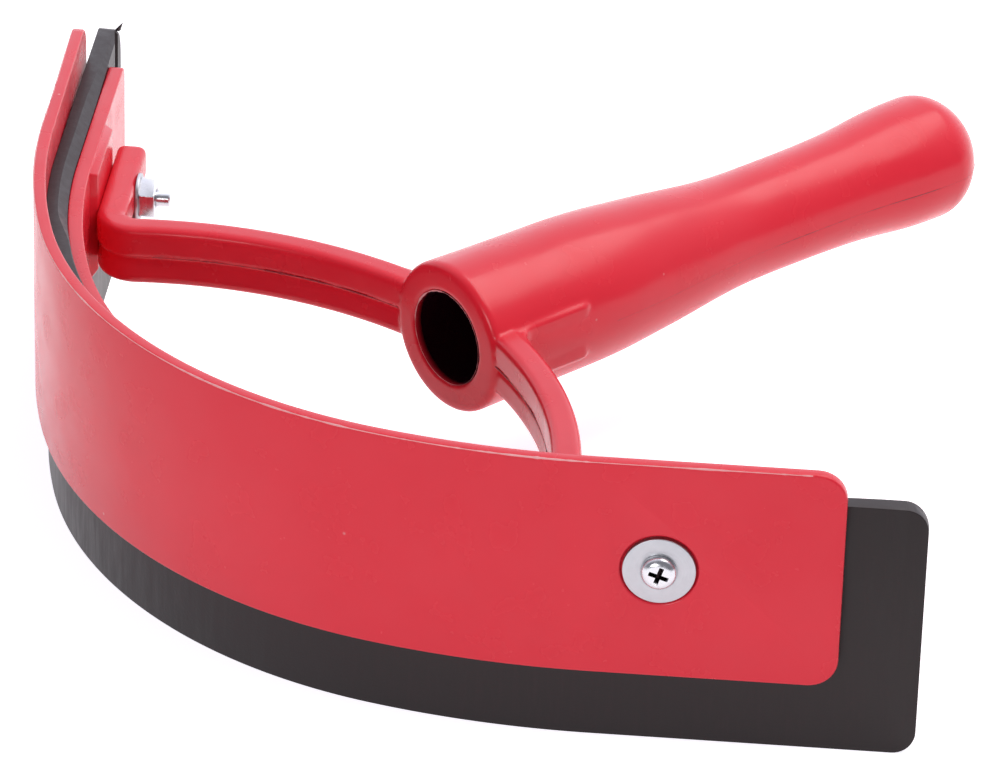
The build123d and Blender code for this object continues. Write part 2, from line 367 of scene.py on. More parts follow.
def make_rubber_blade():
    piece = add_band_section("rubber_blade_moulding", RUBBER_INSET, RUBBER_THICK, RUBBER_LOW, RUBBER_HIGH)
    start_edit(piece)
    corner = Vector((0, BAND_FRONT + INNER_INSET, RUBBER_HIGH))
    pick(piece, "VERT", lambda vertex: (vertex.co - corner).length < 0.01 * MM)
    bpy.ops.mesh.bevel(offset=FACET, segments=1, affect="VERTICES")
    end_edit()
    sweep_band(piece, RUBBER_HALF_LENGTH, 14)
    for vertex in piece.data.vertices:
        co = vertex.co
        share = facet_share(along_of(co))
        if abs(co.z - RUBBER_HIGH + FACET) < 0.01 * MM:
            co.z = RUBBER_HIGH - FACET * share
        elif abs(co.z - RUBBER_HIGH) < 0.01 * MM:
            back = band_point(along_of(co), INNER_INSET, RUBBER_HIGH)
            if (co - back).length < FACET + 0.1 * MM:
                vertex.co = back.lerp(co, share)
    round_band_end(piece, RUBBER_HALF_LENGTH, 5 * MM)
    mirror_half(piece)
    drill(piece, BOLT_HOLE_RADIUS, 0, INNER_INSET + 1 * MM)
    soften(piece, 0.25 * MM, 50)
    return piece


def make_pad(side):
    """A raised pad under a foot of the handle frame: square where the foot's end passes over it."""
    rise = FOOT_INSET - PAD_INSET
    root = 0.6 * MM
    tall = INNER_HIGH - INNER_LOW - 0.02 * MM
    bpy.ops.mesh.primitive_cube_add(size=1)
    pad = bpy.context.active_object
    pad.scale = (24 * MM, tall, rise + root)
    pad.location = (4 * MM, 0, (rise - root) / 2)
    settle(pad)
    start_edit(pad)
    seat = rise - 0.01 * MM
    drafts = (
        (lambda co: co.y > 0, (0, -1.4 * MM, 0)),
        (lambda co: co.y < 0, (0, 2.8 * MM, 0)),
        (lambda co: co.x > 0, (-2 * MM, 0, 0)),
        (lambda co: co.x < 0, (0.6 * MM, 0, 0)),
    )
    for on_side, step in drafts:
        pick(pad, "VERT", lambda vertex: vertex.co.z > seat and on_side(vertex.co))
        bpy.ops.transform.translate(value=step)
    end_edit()
    soften(pad, 0.35 * MM, 25)
    bolt_turned(pad, side, PAD_INSET)
    return pad


def make_inner_strip():
    piece = add_band_section("inner_strip_moulding", INNER_INSET, INNER_THICK, INNER_LOW, INNER_HIGH)
    sweep_band(piece, INNER_HALF_LENGTH)
    round_band_end(piece, INNER_HALF_LENGTH, 3 * MM)
    mirror_half(piece)
    soften(piece, 0.35 * MM)
    for side in SIDES:
        combine(piece, make_pad(side), "UNION")
    drill(piece, BOLT_HOLE_RADIUS, INNER_INSET - 1 * MM, FOOT_INSET + 1 * MM)
    smooth(piece)
    return piece


# ---------------------------------------------------------------- handle frame

ARM_RADIUS = 97.1 * MM
ARM_CENTRE = Vector((-4.05 * MM, BAND_FRONT - 11.9 * MM, 0))
ARM_START = radians(6.5)
ARM_HEIGHT = 13.4 * MM
ARM_EDGE = 1.7 * MM
ELBOW_RADIUS = 5.7 * MM
FOOT_OUTWARD = 14.5 * MM
RIB_HALF_WIDTH = 15.9 * MM
RIB_END = BAND_FRONT + 107 * MM

# The handle along Y from the band's front, and its radii there. Millimetres.
MOUTH_PLACE = 79.6
MOUTH_EDGE = 1.6
BORE_RADIUS = 10.4
BORE_END_RADIUS = 7.0
BORE_STRAIGHT_END = 194
TIP_START = 214
TIP_RADIUS = 13.9
TIP_TAPER = 1.36
TIP_END = (TIP - BAND_FRONT) / MM
MOUTH = BAND_FRONT + MOUTH_PLACE * MM
HANDLE_PROFILE = (
    (MOUTH_PLACE + MOUTH_EDGE, 16.5),
    (98, 16.2),
    (118, 15.85),
    (135, 14.35),
    (155, 12.2),
    (172, 11.9),
    (190, 12.3),
    (205, 13.65),
    (TIP_START, TIP_RADIUS),
)


def profile_radius(place):
    """The handle's outer radius, a smooth curve through the profile. Millimetres."""
    points = [(64.4, 16.8), *HANDLE_PROFILE, (223, 13.65)]
    index = max(i for i in range(1, len(points) - 2) if points[i][0] <= place + 1e-6)
    before, low, high, after = points[index - 1:index + 3]
    span = high[0] - low[0]
    share = (place - low[0]) / span
    low_slope = (high[1] - before[1]) / (high[0] - before[0]) * span
    high_slope = (after[1] - low[1]) / (after[0] - low[0]) * span
    cube, square = share ** 3, share ** 2
    return (
        (2 * cube - 3 * square + 1) * low[1]
        + (cube - 2 * square + share) * low_slope
        + (3 * square - 2 * cube) * high[1]
        + (cube - square) * high_slope
    )


def add_turned(name, stations, sides=96):
    """A closed round body along the handle's axis, from (place along Y, radius) stations."""
    place, radius = stations[0]
    bpy.ops.mesh.primitive_circle_add(
        vertices=sides, radius=radius, fill_type="NGON",
        location=(0, place, FRAME_HIGH), rotation=(pi / 2, 0, 0),
    )
    piece = bpy.context.active_object
    piece.name = name
    piece.data.name = name
    settle(piece)
    start_edit(piece)
    for next_place, next_radius in stations[1:]:
        push(Vector((0, next_place - place, 0)), 1)
        scale = next_radius / radius
        bpy.ops.transform.resize(value=(scale, 1, scale), center_override=(0, next_place, FRAME_HIGH))
        place, radius = next_place, next_radius
    end_edit()
    tidy_normals(piece)
    return piece


def tip_station(turn):
    """A place on the handle's rounded tip and its radius. Millimetres."""
    return TIP_START + (TIP_END - TIP_START) * sin(turn), TIP_RADIUS * cos(turn) ** TIP_TAPER


def handle_stations():
    start, radius = HANDLE_PROFILE[0]
    turns = [pi / 2 * step / 6 for step in range(7)]
    mouth = [
        (start - MOUTH_EDGE * sin(turn), radius - MOUTH_EDGE * (1 - cos(turn)))
        for turn in reversed(turns)
    ]
    count = 60
    places = [start + (TIP_START - start) * step / count for step in range(1, count)]
    side = [(place, profile_radius(place)) for place in places]
    tip = [tip_station(pi / 2 * step / 20) for step in range(20)]
    tip.append((TIP_END, 0.2))
    return [(BAND_FRONT + place * MM, radius * MM) for place, radius in mouth + side + tip]


def bore_stations():
    start = [(70, BORE_RADIUS), (MOUTH_PLACE, BORE_RADIUS), (BORE_STRAIGHT_END, BORE_END_RADIUS)]
    turns = [pi / 2 * step / 8 for step in range(1, 8)]
    finish = [
        (BORE_STRAIGHT_END + BORE_END_RADIUS * sin(turn), BORE_END_RADIUS * cos(turn))
        for turn in turns
    ]
    finish.append((BORE_STRAIGHT_END + BORE_END_RADIUS, 0.3))
    return [(BAND_FRONT + place * MM, radius * MM) for place, radius in start + finish]


def make_arm():
    """The right arm, elbow and foot: one bent bar with a parting step along both sides."""
    turned_radius = ARM_RADIUS * Vector((sin(ARM_START), cos(ARM_START), 0))
    centre = ARM_CENTRE + turned_radius + UP * FRAME_HIGH
    piece = add_section("arm", centre, FOOT_THICK, ARM_HEIGHT, -ARM_START)
    across = turned_radius.normalized()
    start_edit(piece)
    # Levels down the bar's sides, and how far each is sunk. Millimetres.
    steps = ((0.2, 0.0), (-0.3, 1.0), (-1.6, 0.45))
    for level, _ in steps:
        bpy.ops.mesh.select_all(action="SELECT")
        bpy.ops.mesh.bisect(plane_co=(0, 0, FRAME_HIGH + level * MM), plane_no=UP)
    for level, sunk in steps:
        for side in (-1, 1):
            pick(
                piece,
                "VERT",
                lambda vertex: abs(vertex.co.z - FRAME_HIGH - level * MM) < 0.01 * MM
                and (vertex.co - centre).dot(across) * side > 0,
            )
            bpy.ops.transform.translate(value=-across * side * sunk * MM)
    pick(piece, "VERT", lambda vertex: abs(vertex.co.z - FRAME_HIGH) > ARM_HEIGHT / 2 - 0.01 * MM)
    bpy.ops.mesh.bevel(offset=ARM_EDGE, segments=6, affect="VERTICES")
    bpy.ops.mesh.select_all(action="SELECT")

    foot_line = straight_point(BOLT_ALONG, FOOT_INSET + FOOT_THICK / 2 + ELBOW_RADIUS, 0)
    from_arm = foot_line - ARM_CENTRE
    reach = from_arm.dot(ALONG)
    tangent = sqrt(reach ** 2 - from_arm.length_squared + (ARM_RADIUS + ELBOW_RADIUS) ** 2) - reach
    elbow = foot_line + ALONG * tangent
    arm_end = atan2(elbow.x - ARM_CENTRE.x, elbow.y - ARM_CENTRE.y)
    spin(ARM_START - arm_end, ARM_CENTRE, 48)
    spin(arm_end + END_TURN, elbow, 24)
    push(ALONG * (FOOT_OUTWARD - tangent), 1)
    end_place = straight_point(BOLT_ALONG + FOOT_OUTWARD, 0, 0)

    def round_the_end(edge):
        at_end = all(abs((co - end_place).dot(ALONG)) < 0.01 * MM for co in ends(edge))
        return at_end and len(edge.link_faces) == 2 and any(
            abs(face.normal.dot(ALONG)) < 0.5 for face in edge.link_faces
        )

    pick(piece, "EDGE", round_the_end)
    bpy.ops.mesh.bevel(offset=1.1 * MM, segments=4, affect="EDGES")
    end_edit()
    tidy_normals(piece)
    return piece


def mirrored(piece):
    twin = piece.copy()
    twin.data = piece.data.copy()
    bpy.context.collection.objects.link(twin)
    start_edit(twin)
    bpy.ops.transform.mirror(constraint_axis=(True, False, False), center_override=(0, 0, 0))
    end_edit()
    tidy_normals(twin)
    return twin


def make_ribs():
    """A bar across the handle: its two sides stand out as ribs behind the arms."""
    bpy.ops.mesh.primitive_cube_add(size=1)
    ribs = bpy.context.active_object
    start = MOUTH + 1 * MM
    ribs.scale = (2 * RIB_HALF_WIDTH, RIB_END - start, ARM_HEIGHT)
    ribs.location = (0, (start + RIB_END) / 2, FRAME_HIGH)
    settle(ribs)
    start_edit(ribs)
    pick(ribs, "EDGE", lambda edge: all(co.y > RIB_END - 0.01 * MM for co in ends(edge))
         and abs(ends(edge)[0].x - ends(edge)[1].x) < 0.01 * MM)
    bpy.ops.mesh.bevel(offset=3 * MM, segments=8, affect="EDGES")
    end_edit()
    modify(ribs, "BEVEL", width=1.3 * MM, segments=4, limit_method="ANGLE", angle_limit=radians(60))
    return ribs


def make_gusset():
    """Fills the corner between an arm and its rib with a hollow curve."""
    blend = 4 * MM
    back = sqrt((ARM_RADIUS + FOOT_THICK / 2) ** 2 - (RIB_HALF_WIDTH + blend / 2 - ARM_CENTRE.x) ** 2)
    corner = Vector((RIB_HALF_WIDTH, ARM_CENTRE.y + back, FRAME_HIGH))
    overlap = 1.5 * MM
    bpy.ops.mesh.primitive_cube_add(size=1)
    gusset = bpy.context.active_object
    gusset.scale = (blend + overlap, blend + overlap, ARM_HEIGHT - 1.2 * MM)
    gusset.location = corner + Vector(((blend - overlap) / 2, (blend - overlap) / 2, 0))
    settle(gusset)
    bpy.ops.mesh.primitive_cylinder_add(
        vertices=48, radius=blend, depth=2 * ARM_HEIGHT, location=corner + Vector((blend, blend, 0))
    )
    combine(gusset, bpy.context.active_object, "DIFFERENCE")
    return gusset


def make_handle_frame():
    piece = add_turned("handle_frame_moulding", handle_stations())
    arm = make_arm()
    gusset = make_gusset()
    for part in (mirrored(arm), arm, mirrored(gusset), gusset, make_ribs()):
        combine(piece, part, "UNION")
    combine(piece, add_turned("bore", bore_stations()), "DIFFERENCE")
    drill(piece, BOLT_HOLE_RADIUS, FOOT_INSET - 1 * MM, REAR_WASHER_INSET + 1 * MM)
    modify(piece, "REMESH", mode="VOXEL", voxel_size=0.45 * MM)
    modify(piece, "SMOOTH", factor=0.5, iterations=3)
    modify(piece, "DECIMATE", ratio=0.5)
    activate(piece)
    bpy.ops.object.shade_smooth()
    return piece


# ---------------------------------------------------------------- hardware, modelled along +Z

SCREW_RADIUS = 2.08 * MM
THREAD_ROOT = 1.62 * MM
THREAD_PITCH = 0.8 * MM
SCREW_LENGTH = 25.9 * MM
THREAD_LENGTH = 7 * MM
HEAD_RADIUS = 3.7 * MM
HEAD_HEIGHT = 2.1 * MM
FRONT_WASHER_RADIUS = 7.25 * MM
REAR_WASHER_RADIUS = 5.2 * MM
WASHER_HOLE_RADIUS = 2.2 * MM
NUT_ACROSS_FLATS = 8.4 * MM
NUT_THICK = 3.4 * MM


def bevel_rim(rod, level, width, segments):
    """Rounds or turns down a rod's round edge at one level."""
    start_edit(rod)
    pick(rod, "EDGE", lambda edge: all(abs(co.z - level) < 0.001 * MM for co in ends(edge)))
    bpy.ops.mesh.bevel(offset=width, segments=segments, affect="EDGES")
    end_edit()


def make_cross_tool(low, high):
    """A cross-shaped punch whose four arms narrow towards its point."""
    long_half, wide_half = 2.4 * MM, 0.55 * MM
    punch = None
    for turn in (0, pi / 2):
        bpy.ops.mesh.primitive_cube_add(size=1)
        blade = bpy.context.active_object
        blade.scale = (2 * long_half, 2 * wide_half, high - low)
        blade.location = (0, 0, (low + high) / 2)
        settle(blade)
        start_edit(blade)
        pick(blade, "VERT", lambda vertex: vertex.co.z > high - 0.01 * MM)
        bpy.ops.transform.resize(value=(0.45, 0.5, 1), center_override=(0, 0, high))
        end_edit()
        blade.rotation_euler.z = turn + radians(18)
        settle(blade)
        if punch:
            combine(punch, blade, "UNION")
        else:
            punch = blade
    return punch


def make_thread(low, high):
    """A helical ridge on a screw's end, cut level and pointed."""
    bpy.ops.mesh.primitive_circle_add(
        vertices=3, radius=0.48 * MM,
        location=(THREAD_ROOT + 0.18 * MM, 0, low - THREAD_PITCH), rotation=(pi / 2, 0, 0),
    )
    ridge = bpy.context.active_object
    ridge.name = "thread"
    ridge.rotation_euler.y = pi / 2
    settle(ridge)
    turns = int((high - low) / THREAD_PITCH) + 3
    modify(ridge, "SCREW", axis="Z", screw_offset=THREAD_PITCH, iterations=turns, steps=40, render_steps=40,
           use_merge_vertices=False)
    start_edit(ridge)
    pick(ridge, "EDGE", lambda edge: edge.is_boundary)
    bpy.ops.mesh.fill_holes(sides=3)
    end_edit()
    tidy_normals(ridge)
    gauge = add_rod("gauge", SCREW_RADIUS, low, high, 64)
    bevel_rim(gauge, high, 0.35 * MM, 1)
    combine(ridge, gauge, "INTERSECT")
    return ridge


def make_screw(name):
    head = add_rod(name, HEAD_RADIUS, -HEAD_HEIGHT, 0, 96)
    bevel_rim(head, -HEAD_HEIGHT, 1.9 * MM, 12)
    bevel_rim(head, 0, 0.15 * MM, 2)
    combine(head, make_cross_tool(-HEAD_HEIGHT - 0.5 * MM, -HEAD_HEIGHT + 1.4 * MM), "DIFFERENCE")
    shank = add_rod("shank", THREAD_ROOT + 0.1 * MM, -0.2 * MM, SCREW_LENGTH, 64)
    bevel_rim(shank, SCREW_LENGTH, 0.25 * MM, 1)
    combine(head, shank, "UNION")
    combine(head, make_thread(SCREW_LENGTH - THREAD_LENGTH, SCREW_LENGTH), "UNION")
    smooth(head, 32)
    return head


def make_washer(name, radius, thick):
    washer = add_rod(name, radius, 0, thick, 128)
    combine(washer, add_rod("hole", WASHER_HOLE_RADIUS, -1 * MM, thick + 1 * MM, 64), "DIFFERENCE")
    soften(washer, 0.18 * MM)
    return washer


def make_nut(name):
    corner_radius = NUT_ACROSS_FLATS / sqrt(3)
    proud = 0.01 * MM
    nut = add_rod(name, corner_radius, 0, NUT_THICK, 6)
    collar = add_rod("collar", corner_radius, -proud, NUT_THICK + proud, 96)
    for level in (-proud, NUT_THICK + proud):
        bevel_rim(collar, level, 0.42 * MM, 2)
    combine(nut, collar, "INTERSECT")
    hole = add_rod("hole", SCREW_RADIUS + 0.02 * MM, -1 * MM, NUT_THICK + 1 * MM, 64)
    combine(nut, hole, "DIFFERENCE")
    soften(nut, 0.08 * MM, 28)
    return nut


# ---------------------------------------------------------------- moulding flash


def add_flash(name, points, low, high, seed):
    """A thin ragged line of moulding flash, from its thinnest to its thickest radius."""
    random.seed(seed)
    curve = bpy.data.curves.new(name, "CURVE")
    curve.dimensions = "3D"
    curve.bevel_depth = 1.0
    curve.bevel_resolution = 1
    curve.use_fill_caps = True
    spline = curve.splines.new("POLY")
    spline.points.add(len(points) - 1)
    wander = 0.3
    for place, point in zip(spline.points, points):
        wander = min(max(wander + random.uniform(-0.25, 0.25), 0), 1)
        burst = 1 if random.random() > 0.03 else 1.5
        place.co = (*point, 1)
        place.radius = (low + (high - low) * wander ** 2) * burst
    piece = bpy.data.objects.new(name, curve)
    bpy.context.scene.collection.objects.link(piece)
    activate(piece)
    bpy.ops.object.convert(target="MESH")
    piece.data.name = name
    tidy_normals(piece)
    smooth(piece, 60)
    return piece


def stations(start, finish, count):
    return [start + (finish - start) * step / count for step in range(count + 1)]


def make_strip_flash():
    reach = OUTER_HALF_LENGTH - 7 * MM
    points = []
    for along in stations(-reach, reach, 420):
        splay = SPLAY_SLOPE * max(-along - SPLAY_START, 0)
        points.append(band_point(along, 0.1 * MM - splay, STRIP_HIGH - 0.17 * MM))
    return add_flash("outer_strip_flash", points, 0.08 * MM, 0.2 * MM, 3)


def handle_side_points(side):
    sides = [(place, profile_radius(place)) for place in stations(113, TIP_START, 140)]
    sides += [tip_station(turn) for turn in stations(0.1, 1.2, 12)]
    return [
        Vector((side * (radius - 0.02) * MM, BAND_FRONT + place * MM, FRAME_HIGH))
        for place, radius in sides
    ]


def bore_rim_points():
    radius = (BORE_RADIUS - 0.1) * MM
    return [
        Vector((radius * cos(turn), MOUTH + 0.15 * MM, FRAME_HIGH + radius * sin(turn)))
        for turn in stations(0, 2 * pi, 90)
    ]


def arm_lip_points(side):
    radius = ARM_RADIUS - FOOT_THICK / 2
    points = []
    for turn in stations(radians(9.5), radians(47), 120):
        point = ARM_CENTRE + radius * Vector((sin(turn), cos(turn), 0)) + UP * (FRAME_HIGH + 0.15 * MM)
        points.append(Vector((side * point.x, point.y, point.z)))
    return points


made = {
    "outer_strip": make_outer_strip(),
    "rubber_blade": make_rubber_blade(),
    "inner_strip": make_inner_strip(),
    "handle_frame": make_handle_frame(),
}
for side in SIDES:
    made[side + "_screw"] = make_screw(side + "_pan_head_screw")
    made[side + "_front_washer"] = make_washer(
        side + "_large_washer", FRONT_WASHER_RADIUS, SINK_DEPTH - HEAD_INSET
    )
    made[side + "_rear_washer"] = make_washer(
        side + "_small_washer", REAR_WASHER_RADIUS, NUT_INSET - REAR_WASHER_INSET
    )
    made[side + "_nut"] = make_nut(side + "_hexagon_nut")
    bolt_turned(made[side + "_screw"], side, HEAD_INSET)
    bolt_turned(made[side + "_front_washer"], side, HEAD_INSET)
    bolt_turned(made[side + "_rear_washer"], side, REAR_WASHER_INSET)
    bolt_turned(made[side + "_nut"], side, NUT_INSET)

# These flash lines carry a painted highlight: pale along the strip's top edge and the bore's rim
painted_highlight_lines = [
    make_strip_flash(),
    add_flash("bore_rim_flash", bore_rim_points(), 0.03 * MM, 0.4 * MM, 31),
]
shadowed_lines = []
for index, side in enumerate((-1, 1)):
    seam_name = SIDES[index] + "_handle_seam_flash"
    shadowed_lines.append(add_flash(seam_name, handle_side_points(side), 0.02 * MM, 0.13 * MM, 11 + index))
    lip_name = SIDES[index] + "_arm_lip_flash"
    shadowed_lines.append(add_flash(lip_name, arm_lip_points(side), 0.04 * MM, 0.22 * MM, 21 + index))


# ---------------------------------------------------------------- materials


def linear(code):
    """An sRGB hex colour as linear values."""
    values = [int(code[start:start + 2], 16) / 255 for start in (1, 3, 5)]
    return (*[v / 12.92 if v <= 0.04045 else ((v + 0.055) / 1.055) ** 2.4 for v in values], 1)


def add_node(tree, kind, settings=None, inputs=None):
    """Adds a node; an input takes a constant, an output, or a node, which gives its first output in use."""
    node = tree.nodes.new(kind)
    for name, value in (settings or {}).items():
        setattr(node, name, value)
    for name, value in (inputs or {}).items():
        if isinstance(value, bpy.types.Node):
            value = next(output for output in value.outputs if output.enabled)
        if isinstance(value, bpy.types.NodeSocket):
            tree.links.new(value, node.inputs[name])
        else:
            node.inputs[name].default_value = value
    return node


def new_material(name):
    material = bpy.data.materials.new(name)
    material.use_nodes = True
    material.node_tree.nodes.clear()
    return material, material.node_tree


def finish_material(tree, shader):
    add_node(tree, "ShaderNodeOutputMaterial", inputs={"Surface": shader})


def per_mm(size):
    """A texture scale whose features are that many millimetres apart."""
    return 1 / (size * MM)


def make_red_plastic():
    """Injection-moulded polypropylene, dyed red: glossy, with faint flow clouds and a few pale specks."""
    material, tree = new_material("moulded_red_polypropylene")
    place = add_node(tree, "ShaderNodeTexCoord").outputs["Object"]
    clouds = add_node(tree, "ShaderNodeTexNoise", inputs={
        "Vector": place, "Scale": per_mm(38), "Detail": 3.0,
    })
    colour = add_node(tree, "ShaderNodeMix", {"data_type": "RGBA"}, {
        "Factor": clouds, 6: linear("#E02034"), 7: linear("#EC3646"),
    })
    cells = add_node(tree, "ShaderNodeTexVoronoi", inputs={"Vector": place, "Scale": per_mm(13)})
    speck = add_node(tree, "ShaderNodeMapRange", inputs={
        "Value": cells, "From Min": 0.014, "From Max": 0.03, "To Min": 0.7, "To Max": 0.0,
    })
    specked = add_node(tree, "ShaderNodeMix", {"data_type": "RGBA"}, {
        "Factor": speck, 6: colour, 7: linear("#F09A9C"),
    })

    # Inside the handle's bore the plastic is in deep shadow
    parts = add_node(tree, "ShaderNodeSeparateXYZ", inputs={"Vector": place})
    upward = add_node(tree, "ShaderNodeMath", {"operation": "SUBTRACT"}, {
        0: parts.outputs["Z"], 1: FRAME_HIGH,
    })
    from_axis = add_node(tree, "ShaderNodeCombineXYZ", inputs={"X": parts.outputs["X"], "Z": upward})
    radius = add_node(tree, "ShaderNodeVectorMath", {"operation": "LENGTH"}, {0: from_axis})
    inside = add_node(tree, "ShaderNodeMapRange", inputs={
        "Value": radius,
        "From Min": (BORE_RADIUS + 0.4) * MM,
        "From Max": (BORE_RADIUS + 1) * MM,
        "To Min": 1.0,
        "To Max": 0.0,
    })
    deep = add_node(tree, "ShaderNodeMapRange", inputs={
        "Value": parts.outputs["Y"], "From Min": MOUTH - 0.1 * MM, "From Max": MOUTH + 1.8 * MM,
    })
    bore_end = BAND_FRONT + (BORE_STRAIGHT_END + BORE_END_RADIUS + 0.5) * MM
    before_tip = add_node(tree, "ShaderNodeMath", {"operation": "LESS_THAN"}, {
        0: parts.outputs["Y"], 1: bore_end,
    })
    sunk = add_node(tree, "ShaderNodeMath", {"operation": "MULTIPLY"}, {0: inside, 1: deep})
    shade = add_node(tree, "ShaderNodeMath", {"operation": "MULTIPLY"}, {0: sunk, 1: before_tip})
    shaded = add_node(tree, "ShaderNodeMix", {"data_type": "RGBA"}, {
        "Factor": shade, 6: specked, 7: linear("#1A030A"),
    })

    polish = add_node(tree, "ShaderNodeTexNoise", inputs={
        "Vector": place, "Scale": per_mm(9), "Detail": 4.0,
    })
    roughness = add_node(tree, "ShaderNodeMapRange", inputs={
        "Value": polish, "From Min": 0.3, "From Max": 0.7, "To Min": 0.2, "To Max": 0.3,
    })
    grain = add_node(tree, "ShaderNodeTexNoise", inputs={
        "Vector": place, "Scale": per_mm(0.9), "Detail": 2.0,
    })
    fine = add_node(tree, "ShaderNodeBump", inputs={"Strength": 0.12, "Distance": 0.05 * MM, "Height": grain})
    waves = add_node(tree, "ShaderNodeTexNoise", inputs={
        "Vector": place, "Scale": per_mm(16), "Detail": 1.0,
    })
    bump = add_node(tree, "ShaderNodeBump", inputs={
        "Strength": 0.5, "Distance": 0.5 * MM, "Height": waves, "Normal": fine,
    })
    shader = add_node(tree, "ShaderNodeBsdfPrincipled", inputs={
        "Base Color": shaded,
        "Roughness": roughness,
        "IOR": 1.49,
        "Specular IOR Level": 0.32,
        "Normal": bump,
    })
    finish_material(tree, shader)
    return material


def make_seam():
    """The same plastic along a parting line, where it lies in its own shadow."""
    material, tree = new_material("shadowed_parting_line_polypropylene")
    shader = add_node(tree, "ShaderNodeBsdfPrincipled", inputs={
        "Base Color": linear("#A01C2C"), "Roughness": 0.4, "IOR": 1.49,
    })
    finish_material(tree, shader)
    return material


def make_painted_highlight_flash():
    """The same plastic along a parting line's ragged flash, painted pale as a highlight."""
    material, tree = new_material("painted_highlight_polypropylene_flash")
    shader = add_node(tree, "ShaderNodeBsdfPrincipled", inputs={
        "Base Color": linear("#F0A9AB"), "Roughness": 0.35, "IOR": 1.49,
    })
    finish_material(tree, shader)
    return material


def make_rubber():
    """Moulded natural rubber, near black with a brown cast: half matt, with faint dusty scuffs."""
    material, tree = new_material("moulded_black_rubber")
    place = add_node(tree, "ShaderNodeTexCoord").outputs["Object"]
    stretched = add_node(tree, "ShaderNodeMapping", inputs={"Vector": place, "Scale": (1, 1, 0.12)})
    streaks = add_node(tree, "ShaderNodeTexNoise", inputs={
        "Vector": stretched, "Scale": per_mm(1.6), "Detail": 5.0, "Roughness": 0.6,
    })
    dust = add_node(tree, "ShaderNodeMapRange", inputs={
        "Value": streaks, "From Min": 0.5, "From Max": 0.8, "To Min": 0.0, "To Max": 0.22,
    })
    colour = add_node(tree, "ShaderNodeMix", {"data_type": "RGBA"}, {
        "Factor": dust, 6: linear("#170A0B"), 7: linear("#362629"),
    })
    roughness = add_node(tree, "ShaderNodeMapRange", inputs={
        "Value": streaks, "From Min": 0.3, "From Max": 0.7, "To Min": 0.36, "To Max": 0.5,
    })
    grain = add_node(tree, "ShaderNodeTexNoise", inputs={
        "Vector": place, "Scale": per_mm(0.6), "Detail": 3.0,
    })
    bump = add_node(tree, "ShaderNodeBump", inputs={"Strength": 0.3, "Distance": 0.06 * MM, "Height": grain})
    shader = add_node(tree, "ShaderNodeBsdfPrincipled", inputs={
        "Base Color": colour,
        "Roughness": roughness,
        "IOR": 1.52,
        "Specular IOR Level": 0.3,
        "Normal": bump,
    })
    finish_material(tree, shader)
    return material


def make_zinc(name, colour_code, low_roughness, high_roughness, ring_mm, ring_strength):
    """Zinc-plated steel: grey-white metal with turning rings around the bolt's axis."""
    material, tree = new_material(name)
    place = add_node(tree, "ShaderNodeTexCoord").outputs["Object"]

    # Both bolts are folded onto one, then measured from its axis
    point = straight_point(BOLT_ALONG, 0, BOLT_HIGH)
    centre = Vector((abs(point.x), abs(point.y), abs(point.z)))
    axis = Vector((INWARD.x, INWARD.y if point.y > 0 else -INWARD.y, 0))
    folded = add_node(tree, "ShaderNodeVectorMath", {"operation": "ABSOLUTE"}, {0: place})
    from_centre = add_node(tree, "ShaderNodeVectorMath", {"operation": "SUBTRACT"}, {0: folded, 1: centre})
    spread = add_node(tree, "ShaderNodeVectorMath", {"operation": "CROSS_PRODUCT"}, {0: from_centre, 1: axis})
    radius = add_node(tree, "ShaderNodeVectorMath", {"operation": "LENGTH"}, {0: spread})
    depth = add_node(tree, "ShaderNodeVectorMath", {"operation": "DOT_PRODUCT"}, {0: from_centre, 1: axis})

    rings = add_node(tree, "ShaderNodeTexNoise", {"noise_dimensions": "1D"}, {
        "W": radius, "Scale": per_mm(ring_mm), "Detail": 2.0,
    })
    turning = add_node(tree, "ShaderNodeBump", inputs={
        "Strength": ring_strength, "Distance": 0.05 * MM, "Height": rings,
    })
    patches = add_node(tree, "ShaderNodeTexNoise", inputs={
        "Vector": place, "Scale": per_mm(1.3), "Detail": 4.0,
    })
    pits = add_node(tree, "ShaderNodeBump", inputs={
        "Strength": 0.25, "Distance": 0.06 * MM, "Height": patches, "Normal": turning,
    })
    roughness = add_node(tree, "ShaderNodeMapRange", inputs={
        "Value": patches, "From Min": 0.3, "From Max": 0.7, "To Min": low_roughness, "To Max": high_roughness,
    })

    # The screw's cross recess is painted dark as shade
    head_top = HEAD_INSET - HEAD_HEIGHT
    sunk = add_node(tree, "ShaderNodeMapRange", inputs={
        "Value": depth, "From Min": head_top + 0.25 * MM, "From Max": head_top + 0.5 * MM,
    })
    outer = add_node(tree, "ShaderNodeMath", {"operation": "LESS_THAN"}, {0: depth, 1: head_top + 1.6 * MM})
    narrow = add_node(tree, "ShaderNodeMath", {"operation": "LESS_THAN"}, {0: radius, 1: 2.5 * MM})
    in_head = add_node(tree, "ShaderNodeMath", {"operation": "MULTIPLY"}, {0: sunk, 1: outer})
    recess_shade = add_node(tree, "ShaderNodeMath", {"operation": "MULTIPLY"}, {0: in_head, 1: narrow})
    colour = add_node(tree, "ShaderNodeMix", {"data_type": "RGBA"}, {
        "Factor": recess_shade, 6: linear(colour_code), 7: linear("#191315"),
    })
    shader = add_node(tree, "ShaderNodeBsdfPrincipled", inputs={
        "Base Color": colour,
        "Metallic": 1.0,
        "Roughness": roughness,
        "Normal": pits,
    })
    finish_material(tree, shader)
    return material


def paint(piece, material):
    piece.data.materials.clear()
    piece.data.materials.append(material)


